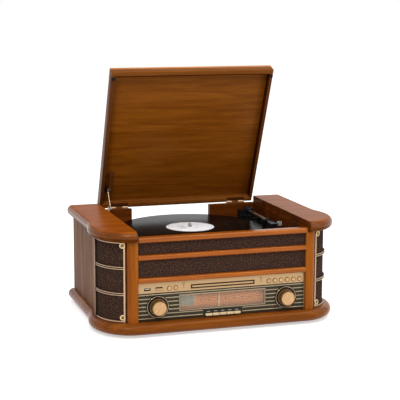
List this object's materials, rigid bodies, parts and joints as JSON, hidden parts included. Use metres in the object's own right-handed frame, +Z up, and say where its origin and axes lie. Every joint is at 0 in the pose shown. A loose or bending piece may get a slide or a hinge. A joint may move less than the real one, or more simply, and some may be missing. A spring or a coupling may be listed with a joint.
{
  "type": "stereo music centre",
  "caption": "Retro wooden music centre: record player under an open hinged lid, cloth grilles wrapped round the front corners, and a radio dial, disc slot, keys and knobs below.",
  "frame": {"origin": "bottom centre of the whole box, on the surface it stands on, with the lid open", "axes": "+Z up, +Y towards the back, +X to the right seen from the front"},
  "size_m": [0.51, 0.3574, 0.5095],
  "materials": {
    "walnut_red": "satin lacquer",
    "walnut_dark": "satin lacquer",
    "grille_cloth": "woven",
    "champagne_trim": "metallic lacquer",
    "champagne_metal": "brushed",
    "ivory_plastic": "gloss",
    "dial_card": "printed",
    "clear_window": "clear",
    "black_plastic": "satin",
    "black_rubber": "matte",
    "record_vinyl": "grooved gloss",
    "cast_platter": "turned",
    "bright_steel": "polished",
    "arm_tube": "satin",
    "brass": "polished",
    "back_board": "matte black",
    "motor_steel": "plain",
    "socket_black": "gloss",
    "circuit_green": "solder mask",
    "speaker_black": "matte"
  },
  "bodies": {
    "cabinet": {"base_plate": "walnut_red", "rubber_feet": "black_rubber", "side_panels": "walnut_red", "wing_tops": "walnut_red", "front_posts": "walnut_red", "front_rails": "walnut_red", "front_grilles": "grille_cloth", "speaker_grilles": "grille_cloth", "grille_trims": "champagne_trim", "inner_walls": "walnut_dark", "back_panel": "back_board", "rear_sockets": "socket_black", "media_sockets": "bright_steel", "turntable_deck": "black_plastic", "spindle": "bright_steel", "turntable_motor": "motor_steel", "drive_belt": "black_rubber", "arm_base": "black_plastic", "fascia_panel": "champagne_metal", "dial_scale": "dial_card", "dial_window": "clear_window", "cd_loader": "black_plastic", "circuit_boards": "circuit_green", "power_transformer": "motor_steel", "loudspeakers": "speaker_black", "hinge_leaves": "brass"},
    "lid": {"lid_panel": "walnut_red", "lid_frame": "walnut_red", "lid_bumpers": "black_rubber", "lid_hinge_leaves": "brass", "stay_track": "black_plastic"},
    "stay": {"lid_stay": "bright_steel"},
    "turning_platter": {"platter": "cast_platter", "platter_mat": "black_rubber", "record": "record_vinyl"},
    "pulley": {"motor_pulley": "brass"},
    "gimbal": {"arm_gimbal": "black_plastic"},
    "arm": {"tonearm": "arm_tube", "cartridge": "black_plastic"},
    "lift": {"arm_lift": "black_plastic"},
    "cue": {"cue_lever": "black_plastic"},
    "selector": {"speed_selector": "black_plastic"},
    "volume": {"volume_knob": "champagne_metal"},
    "tuning": {"tuning_knob": "champagne_metal"},
    "pointer": {"dial_pointer": "ivory_plastic"},
    "key_1": {"function_key_1": "ivory_plastic"},
    "key_2": {"function_key_2": "ivory_plastic"},
    "key_3": {"function_key_3": "ivory_plastic"},
    "key_4": {"function_key_4": "ivory_plastic"},
    "key_5": {"function_key_5": "ivory_plastic"},
    "button_1": {"round_button_1": "champagne_trim"},
    "button_2": {"round_button_2": "champagne_trim"},
    "button_3": {"round_button_3": "champagne_trim"},
    "button_4": {"round_button_4": "champagne_trim"},
    "button_5": {"round_button_5": "champagne_trim"},
    "button_6": {"round_button_6": "champagne_trim"},
    "button_7": {"round_button_7": "champagne_trim"},
    "button_8": {"round_button_8": "champagne_trim"},
    "tray": {"cd_tray": "champagne_trim"},
    "hub": {"cd_hub": "bright_steel"}
  },
  "joints": [
    {"name": "lid_hinge", "type": "hinge", "parent": "cabinet", "child": "lid", "pos_m": [0, 0.15847, 0.199], "axis": [1, 0, 0], "range_deg": [0, 67]},
    {"name": "stay_turn", "type": "hinge", "parent": "cabinet", "child": "stay", "pos_m": [-0.1588, 0.12427, 0.204], "axis": [1, 0, 0], "range_deg": [0, 121]},
    {"name": "platter_turn", "type": "hinge", "parent": "cabinet", "child": "turning_platter", "pos_m": [-0.0175, 0.00457, 0.164], "axis": [0, 0, -1], "continuous": true},
    {"name": "pulley_turn", "type": "hinge", "parent": "cabinet", "child": "pulley", "pos_m": [0.0675, 0.00457, 0.164], "axis": [0, 0, -1], "continuous": true},
    {"name": "arm_swing", "type": "hinge", "parent": "cabinet", "child": "gimbal", "pos_m": [0.152, 0.11627, 0.186], "axis": [0, 0, -1], "range_deg": [0, 41]},
    {"name": "arm_raise", "type": "hinge", "parent": "gimbal", "child": "arm", "pos_m": [0.152, 0.11627, 0.186], "axis": [-0.9996, 0.0268, 0], "range_deg": [0, 3.5]},
    {"name": "lift_rise", "type": "slide", "parent": "cabinet", "child": "lift", "axis": [0, 0, 1], "range_m": [0, 0.00265]},
    {"name": "cue_turn", "type": "hinge", "parent": "cabinet", "child": "cue", "pos_m": [0.156, 0.07627, 0.173], "axis": [-1, 0, 0], "range_deg": [0, 60]},
    {"name": "selector_turn", "type": "hinge", "parent": "cabinet", "child": "selector", "pos_m": [0.152, -0.11173, 0.164], "axis": [0, 0, -1], "range_deg": [0, 60]},
    {"name": "volume_turn", "type": "hinge", "parent": "cabinet", "child": "volume", "pos_m": [-0.134, -0.15573, 0.0564], "axis": [0, 1, 0], "range_deg": [-150, 150]},
    {"name": "tuning_turn", "type": "hinge", "parent": "cabinet", "child": "tuning", "pos_m": [0.134, -0.15573, 0.0564], "axis": [0, 1, 0], "range_deg": [-330, 660]},
    {"name": "pointer_slide", "type": "slide", "parent": "cabinet", "child": "pointer", "axis": [1, 0, 0], "range_m": [-0.044, 0.085]},
    {"name": "key_1_press", "type": "slide", "parent": "cabinet", "child": "key_1", "axis": [0, 1, 0], "range_m": [0, 0.003], "stiffness_N_per_m": 400},
    {"name": "key_2_press", "type": "slide", "parent": "cabinet", "child": "key_2", "axis": [0, 1, 0], "range_m": [0, 0.003], "stiffness_N_per_m": 400},
    {"name": "key_3_press", "type": "slide", "parent": "cabinet", "child": "key_3", "axis": [0, 1, 0], "range_m": [0, 0.003], "stiffness_N_per_m": 400},
    {"name": "key_4_press", "type": "slide", "parent": "cabinet", "child": "key_4", "axis": [0, 1, 0], "range_m": [0, 0.003], "stiffness_N_per_m": 400},
    {"name": "key_5_press", "type": "slide", "parent": "cabinet", "child": "key_5", "axis": [0, 1, 0], "range_m": [0, 0.003], "stiffness_N_per_m": 400},
    {"name": "button_1_press", "type": "slide", "parent": "cabinet", "child": "button_1", "axis": [0, 1, 0], "range_m": [0, 0.0015], "stiffness_N_per_m": 400},
    {"name": "button_2_press", "type": "slide", "parent": "cabinet", "child": "button_2", "axis": [0, 1, 0], "range_m": [0, 0.0015], "stiffness_N_per_m": 400},
    {"name": "button_3_press", "type": "slide", "parent": "cabinet", "child": "button_3", "axis": [0, 1, 0], "range_m": [0, 0.0015], "stiffness_N_per_m": 400},
    {"name": "button_4_press", "type": "slide", "parent": "cabinet", "child": "button_4", "axis": [0, 1, 0], "range_m": [0, 0.0015], "stiffness_N_per_m": 400},
    {"name": "button_5_press", "type": "slide", "parent": "cabinet", "child": "button_5", "axis": [0, 1, 0], "range_m": [0, 0.0015], "stiffness_N_per_m": 400},
    {"name": "button_6_press", "type": "slide", "parent": "cabinet", "child": "button_6", "axis": [0, 1, 0], "range_m": [0, 0.0015], "stiffness_N_per_m": 400},
    {"name": "button_7_press", "type": "slide", "parent": "cabinet", "child": "button_7", "axis": [0, 1, 0], "range_m": [0, 0.0015], "stiffness_N_per_m": 400},
    {"name": "button_8_press", "type": "slide", "parent": "cabinet", "child": "button_8", "axis": [0, 1, 0], "range_m": [0, 0.0015], "stiffness_N_per_m": 400},
    {"name": "tray_slide", "type": "slide", "parent": "cabinet", "child": "tray", "axis": [0, -1, 0], "range_m": [0, 0.13]},
    {"name": "disc_turn", "type": "hinge", "parent": "cabinet", "child": "hub", "pos_m": [0, -0.08373, 0.09], "axis": [0, 0, 1], "continuous": true}
  ],
  "couplings": [
    {"joint": "stay_turn", "follows": "lid_hinge", "ratio": 1.8},
    {"joint": "pulley_turn", "follows": "platter_turn", "ratio": 9.75},
    {"joint": "arm_raise", "follows": "cue_turn", "ratio": 0.058},
    {"joint": "lift_rise", "follows": "cue_turn", "m_per_rad": 0.00248},
    {"joint": "pointer_slide", "follows": "tuning_turn", "m_per_rad": 0.0073}
  ]
}
